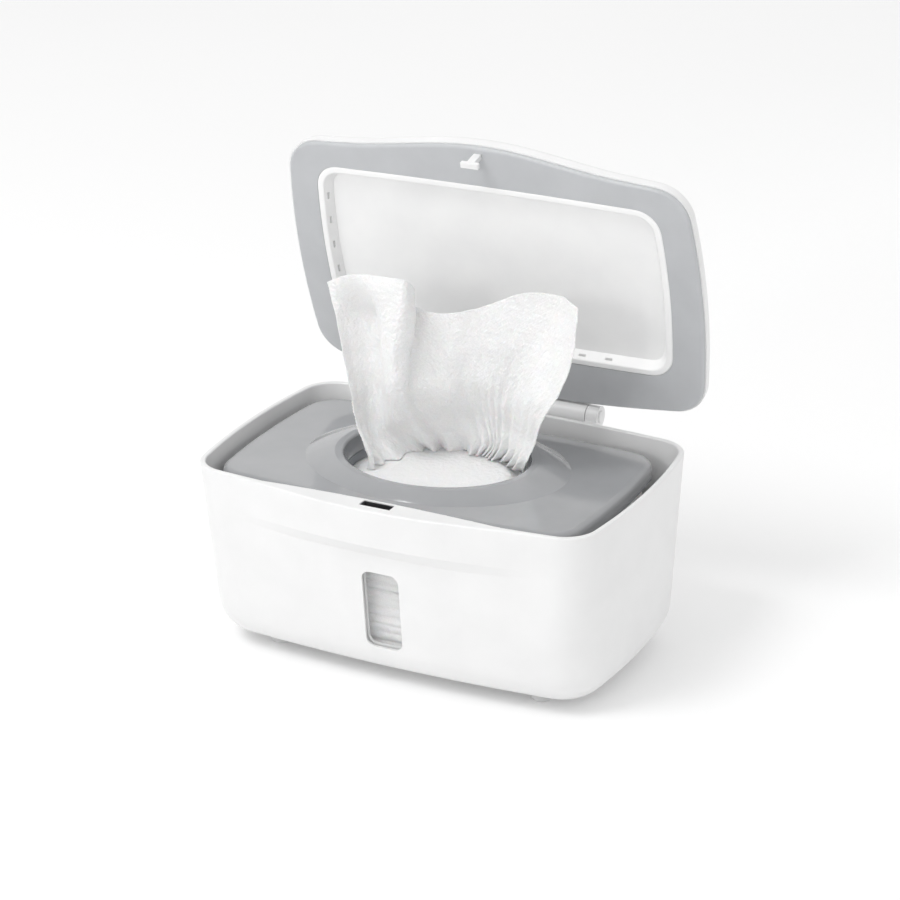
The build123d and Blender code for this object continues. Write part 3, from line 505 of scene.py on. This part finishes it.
def make_stack(material):
    half_y = (STACK_REAR - STACK_FRONT) / 2
    middle_y = (STACK_REAR + STACK_FRONT) / 2
    loop = rounded_loop(STACK_HALF_X, half_y, STACK_CORNER, STACK_COLUMNS)
    columns = len(loop)
    points = []
    flat = []
    profile = stack_profile()
    for i, (z, inset, fold) in enumerate(profile):
        layer = i // ROWS_PER_FOLD
        for place, out, along in loop:
            sag = sum(depth * math.sin(along / size + layer * turn) for depth, size, turn in SAGS)
            slip = 0.5 * math.sin(layer * 4.1) + 0.35 * math.sin(layer * 1.3 + along / 60.0)
            spot = place + out * (FOLD_DEPTH * (fold - 1.0) + slip * SLIP_SHARE - SIDE_INSET - inset)
            rise = sag * min(1.0, (STACK_TOP - z) / SAG_FADE) * min(1.0, (z - STACK_LOW) / SAG_FADE)
            points.append(at_tub(spot.x, spot.y + middle_y, z + rise))
            flat.append((along * MM, z * MM))
    rings = len(profile)
    faces = grid_faces(rings, columns, closed=True)
    for level, z, order in ((rings - 1, STACK_TOP, 1), (0, STACK_LOW, -1)):
        previous = [level * columns + j for j in range(columns)]
        shares = [1 - i / STACK_TOP_RINGS for i in range(1, STACK_TOP_RINGS)] if order > 0 else [0.6, 0.2]
        for share in shares:
            ring = []
            for j in range(columns):
                edge = points[level * columns + j]
                spot = at_tub(0, middle_y, z).lerp(edge, share)
                spot.z = z * MM
                if order > 0:
                    dip = 0.25 + 0.2 * math.sin(spot.x / 0.021) * math.sin(spot.y / 0.017)
                    spot.z += (stack_swell(spot.x / MM, (spot.y - tub_y) / MM) - dip) * MM
                ring.append(len(points))
                points.append(spot)
                flat.append((spot.x + 1.0, spot.y))
            for j in range(columns):
                k = (j + 1) % columns
                quad = (previous[j], previous[k], ring[k], ring[j])
                faces.append(quad if order > 0 else quad[::-1])
            previous = ring
        faces.append(tuple(previous) if order > 0 else tuple(previous[::-1]))
    piece = mesh_object("folded_wipes", points, faces)
    uv = piece.data.uv_layers.new(name="flat")
    for corner in piece.data.loops:
        uv.data[corner.index].uv = flat[corner.vertex_index]
    piece.data.materials.append(material)
    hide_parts("wipe_stack")
    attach(piece, "tub")
    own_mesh(piece)


def make_latch_coil(material):
    """Helical spring under the latch's slider."""
    low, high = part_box("latch_spring")
    radius = (high[0] - low[0]) / 2 - COIL_WIRE
    middle = ((low[0] + high[0]) / 2, (low[1] + high[1]) / 2)
    rings = COIL_TURNS * COIL_STEPS + 1
    points = []
    for i in range(rings):
        angle = 2 * math.pi * i / COIL_STEPS
        out = Vector((math.cos(angle), math.sin(angle), 0))
        z = low[2] + COIL_WIRE + (high[2] - low[2] - 2 * COIL_WIRE) * i / (rings - 1)
        centre = Vector((*middle, z)) + out * radius
        for j in range(COIL_SIDES):
            turn = 2 * math.pi * j / COIL_SIDES
            points.append(centre + COIL_WIRE * (math.cos(turn) * out + math.sin(turn) * Vector((0, 0, 1))))
    faces = grid_faces(rings, COIL_SIDES, closed=True)
    last = (rings - 1) * COIL_SIDES
    faces += [tuple(range(COIL_SIDES - 1, -1, -1)), tuple(range(last, last + COIL_SIDES))]
    piece = mesh_object("latch_coil", points, faces)
    piece.data.materials.append(material)
    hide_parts("latch_spring")
    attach(piece, "tub")
    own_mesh(piece)


def make_floor():
    size = 6.0
    points = [(-size, -size, 0), (size, -size, 0), (size, size, 0), (-size, size, 0)]
    floor = mesh_object("floor", points, [(0, 1, 2, 3)], smooth=False)
    shader = Shader("floor")
    shader.colour((0.90, 0.90, 0.90), (0.91, 0.91, 0.91), 2.0)
    shader.set(Roughness=0.7, Emission_Color=(1.0, 1.0, 1.0, 1.0), Emission_Strength=0.08)
    floor.data.materials.append(shader.material)


def make_light(name, place, aim, size, power, spread=180.0):
    light = bpy.data.lights.new(name, "AREA")
    light.shape = "DISK"
    light.size = size
    light.energy = power
    light.spread = math.radians(spread)
    lamp = bpy.data.objects.new(name, light)
    bpy.context.scene.collection.objects.link(lamp)
    lamp.location = place
    lamp.rotation_euler = (Vector(aim) - Vector(place)).to_track_quat("-Z", "Y").to_euler()


def make_lights():
    world = bpy.data.worlds.new("studio")
    bpy.context.scene.world = world
    world.use_nodes = True
    background = world.node_tree.nodes["Background"]
    background.inputs["Color"].default_value = (1.0, 1.0, 1.0, 1.0)
    background.inputs["Strength"].default_value = 0.85
    make_light("key", (-0.6, -1.0, 1.75), at_tub(0, 40, 150), 0.8, 12.4)
    make_light("lid_light", (-0.25, -1.5, 0.75), at_tub(0, 85, 200), 0.5, 0.07, spread=16.0)


def make_camera():
    a, e, r = CAMERA_AZIMUTH, CAMERA_ELEVATION, CAMERA_ROLL
    back = Vector((math.sin(a) * math.cos(e), -math.cos(a) * math.cos(e), math.sin(e)))
    right = Vector((math.cos(a), math.sin(a), 0.0))
    up = back.cross(right)
    rolled_right = right * math.cos(r) + up * math.sin(r)
    rolled_up = up * math.cos(r) - right * math.sin(r)
    camera = bpy.data.cameras.new("camera")
    camera.lens = LENS_MM
    camera.sensor_width = SENSOR_MM
    camera.clip_end = 50.0
    holder = bpy.data.objects.new("camera", camera)
    bpy.context.scene.collection.objects.link(holder)
    target = CAMERA_TARGET + Vector((0, tub_y, 0))
    matrix = holder.matrix_world.copy()
    place = target + back * CAMERA_DISTANCE
    for row in range(3):
        matrix[row][0] = rolled_right[row]
        matrix[row][1] = rolled_up[row]
        matrix[row][2] = back[row]
        matrix[row][3] = place[row]
    holder.matrix_world = matrix
    bpy.context.scene.camera = holder


materials = make_materials()
dress_nodes(materials)
make_camera()
make_floor()
make_lights()
make_stack(materials["wipes"])
make_latch_coil(materials["steel"])
make_pulled_wipe(materials["wipes"])
bpy.context.scene.view_settings.view_transform = "Standard"
